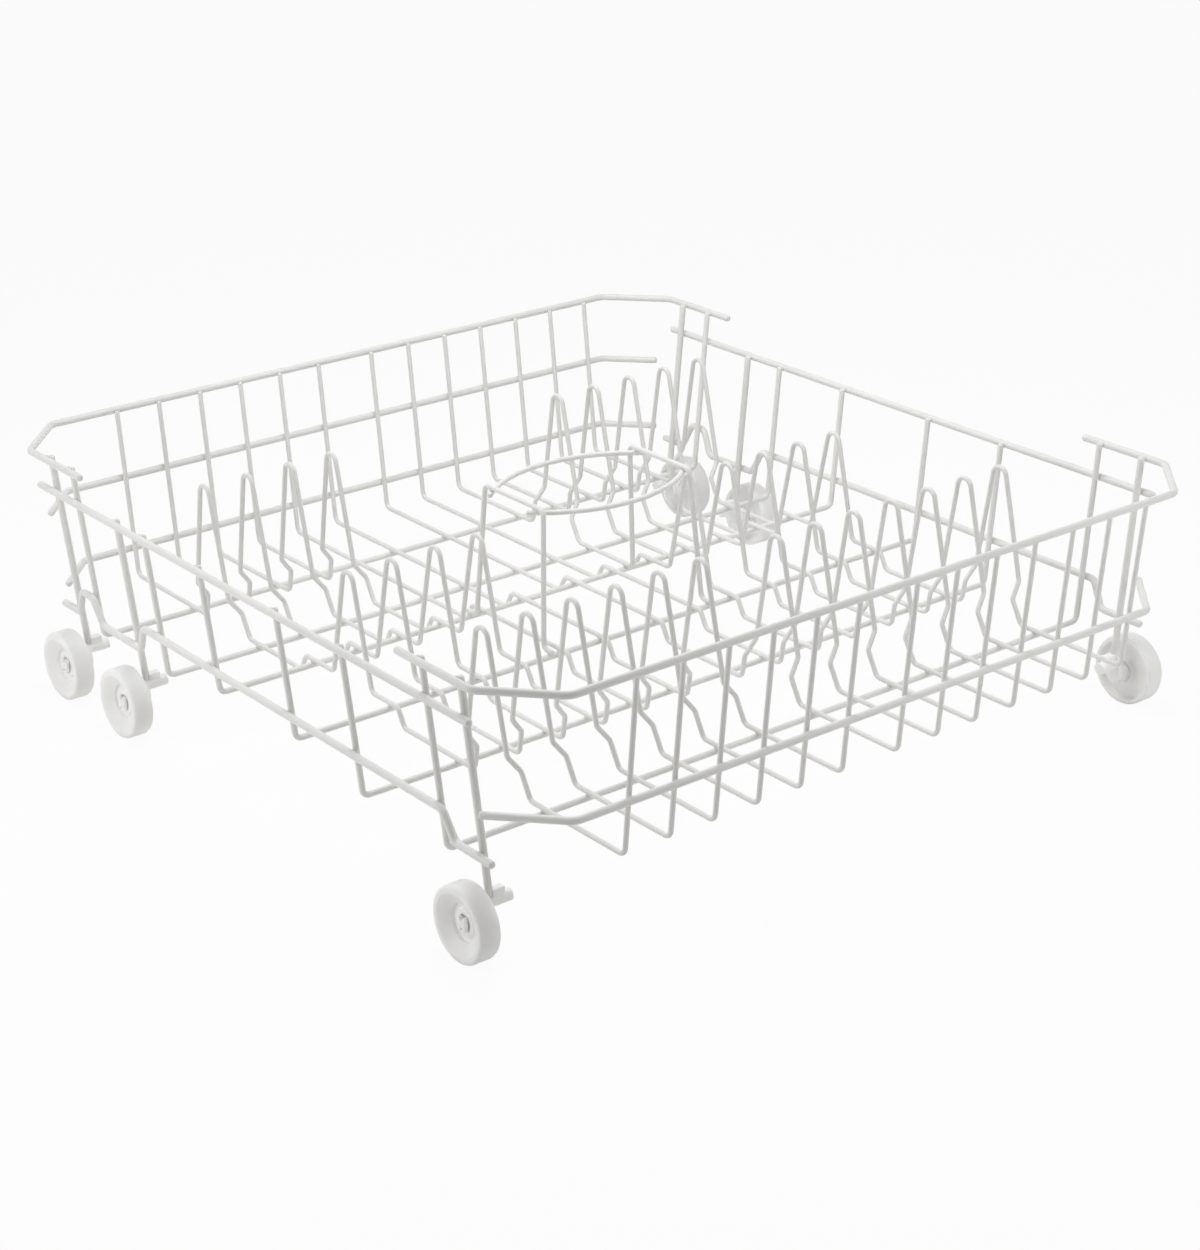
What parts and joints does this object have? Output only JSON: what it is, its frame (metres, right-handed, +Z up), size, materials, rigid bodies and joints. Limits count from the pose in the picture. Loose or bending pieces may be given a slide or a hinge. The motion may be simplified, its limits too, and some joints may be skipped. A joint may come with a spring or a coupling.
{
  "type": "dishwasher basket",
  "caption": "Lower dishwasher rack of white coated wire: open basket with cut corners, rows of plate tines, a raised middle with a centre guide, rolling on snap-in plastic wheels.",
  "frame": {"origin": "on the ground under the middle of the rack, at the wheels' lowest points", "axes": "X from side to side with the six-wire bank of tines at minus X, Y from the front wall to the back wall, Z up"},
  "size_m": [0.5086, 0.5314, 0.1584],
  "materials": {
    "coated_wire": "satin",
    "wheel_plastic": "satin",
    "clip_plastic": "satin"
  },
  "bodies": {
    "rack": {"front_rim": "coated_wire", "back_rim": "coated_wire", "front_low_rail": "coated_wire", "back_middle_rail": "coated_wire", "back_low_rail": "coated_wire", "left_upper_rail": "coated_wire", "right_upper_rail": "coated_wire", "left_lower_rail": "coated_wire", "right_lower_rail": "coated_wire", "cross_wire_1": "coated_wire", "cross_wire_2": "coated_wire", "cross_wire_3": "coated_wire", "cross_wire_4": "coated_wire", "cross_wire_5": "coated_wire", "cross_wire_6": "coated_wire", "tine_wire_01": "coated_wire", "tine_wire_02": "coated_wire", "tine_wire_03": "coated_wire", "tine_wire_04": "coated_wire", "tine_wire_05": "coated_wire", "tine_wire_06": "coated_wire", "tine_wire_07": "coated_wire", "tine_wire_08": "coated_wire", "tine_wire_09": "coated_wire", "tine_wire_10": "coated_wire", "tine_wire_11": "coated_wire", "tine_wire_12": "coated_wire", "tine_wire_13": "coated_wire", "guide_frame_left": "coated_wire", "guide_frame_right": "coated_wire", "guide_hoop_front": "coated_wire", "guide_hoop_back": "coated_wire", "post_left_front": "coated_wire", "post_left_middle": "coated_wire", "post_left_back": "coated_wire", "post_right_front": "coated_wire", "post_right_middle": "coated_wire", "post_right_back": "coated_wire", "axle_clip_left_front": "clip_plastic", "axle_clip_left_middle": "clip_plastic", "axle_clip_left_back": "clip_plastic", "axle_clip_right_front": "clip_plastic", "axle_clip_right_middle": "clip_plastic", "axle_clip_right_back": "clip_plastic"},
    "left_front_wheel": {"wheel_left_front": "wheel_plastic"},
    "left_middle_wheel": {"wheel_left_middle": "wheel_plastic"},
    "left_back_wheel": {"wheel_left_back": "wheel_plastic"},
    "right_front_wheel": {"wheel_right_front": "wheel_plastic"},
    "right_middle_wheel": {"wheel_right_middle": "wheel_plastic"},
    "right_back_wheel": {"wheel_right_back": "wheel_plastic"}
  },
  "joints": [
    {"name": "left_front_roll", "type": "hinge", "parent": "rack", "child": "left_front_wheel", "pos_m": [-0.2478, -0.213, 0.0215], "axis": [1, 0, 0], "continuous": true},
    {"name": "left_middle_roll", "type": "hinge", "parent": "rack", "child": "left_middle_wheel", "pos_m": [-0.2478, 0.136, 0.0215], "axis": [1, 0, 0], "continuous": true},
    {"name": "left_back_roll", "type": "hinge", "parent": "rack", "child": "left_back_wheel", "pos_m": [-0.2478, 0.208, 0.0215], "axis": [1, 0, 0], "continuous": true},
    {"name": "right_front_roll", "type": "hinge", "parent": "rack", "child": "right_front_wheel", "pos_m": [0.2478, -0.213, 0.0215], "axis": [1, 0, 0], "continuous": true},
    {"name": "right_middle_roll", "type": "hinge", "parent": "rack", "child": "right_middle_wheel", "pos_m": [0.2478, 0.136, 0.0215], "axis": [1, 0, 0], "continuous": true},
    {"name": "right_back_roll", "type": "hinge", "parent": "rack", "child": "right_back_wheel", "pos_m": [0.2478, 0.208, 0.0215], "axis": [1, 0, 0], "continuous": true}
  ]
}
